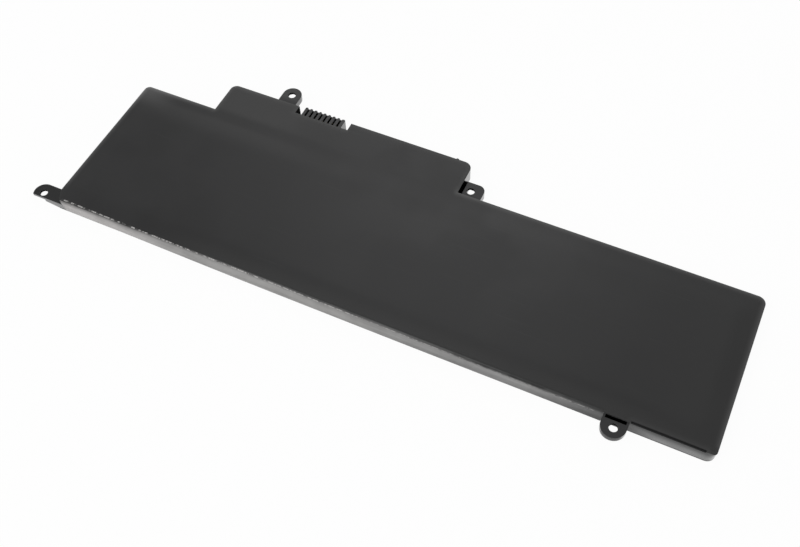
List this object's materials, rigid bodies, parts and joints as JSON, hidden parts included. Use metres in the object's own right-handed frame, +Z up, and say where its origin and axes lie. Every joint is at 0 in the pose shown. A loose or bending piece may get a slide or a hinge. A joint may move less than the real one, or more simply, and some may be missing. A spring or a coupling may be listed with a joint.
{
  "type": "laptop battery",
  "caption": "Flat internal laptop battery: black moulded tray with screw ears, pouch cells under a film, and a ribbed blade connector.",
  "frame": {"origin": "on the underside plane, below the middle of the whole outline with its ears", "axes": "+X along the long side, from the low ear to the plain end; +Y from the folded front edge to the connector; +Z up, from the underside to the film"},
  "size_m": [0.2614, 0.0932, 0.0065],
  "materials": {
    "tray_plastic": "fine texture, satin",
    "cover_film": "satin film",
    "stiff_sheet": "satin sheet",
    "plain_label": "matt film, blank",
    "pouch_foil": "soft satin foil",
    "adhesive_tape": "matt tape",
    "amber_tape": "satin polyimide tape",
    "foam": "open foam",
    "aluminium_tab": "bare",
    "nickel": "bright strip",
    "board_laminate": "green solder resist",
    "connector_plastic": "satin",
    "contact_metal": "gold flashed",
    "chip_plastic": "matt moulding",
    "capacitor_ceramic": "matt",
    "resistor_ceramic": "matt",
    "sensor_bead": "glossy drop",
    "flexible_tail": "satin polyimide"
  },
  "bodies": {
    "root": {"tray": "tray_plastic", "cover_film": "cover_film", "bay_sheet": "stiff_sheet", "underside_label": "plain_label", "cell_left": "pouch_foil", "cell_middle": "pouch_foil", "cell_right": "pouch_foil", "cell_tapes": "adhesive_tape", "negative_tabs": "nickel", "positive_tabs": "aluminium_tab", "series_link_left": "nickel", "series_link_right": "nickel", "negative_lead": "nickel", "positive_lead": "nickel", "terrace_tapes": "amber_tape", "cover_tapes": "amber_tape", "foam_strips": "foam", "circuit_board": "board_laminate", "board_pads": "nickel", "connector_body": "connector_plastic", "connector_contacts": "contact_metal", "power_transistors": "chip_plastic", "sense_resistor": "resistor_ceramic", "fuel_gauge_chip": "chip_plastic", "protector_chip": "chip_plastic", "chip_fuse": "chip_plastic", "ceramic_capacitors": "capacitor_ceramic", "chip_resistors": "resistor_ceramic", "temperature_sensor": "sensor_bead", "sensor_flex": "flexible_tail"}
  },
  "joints": []
}
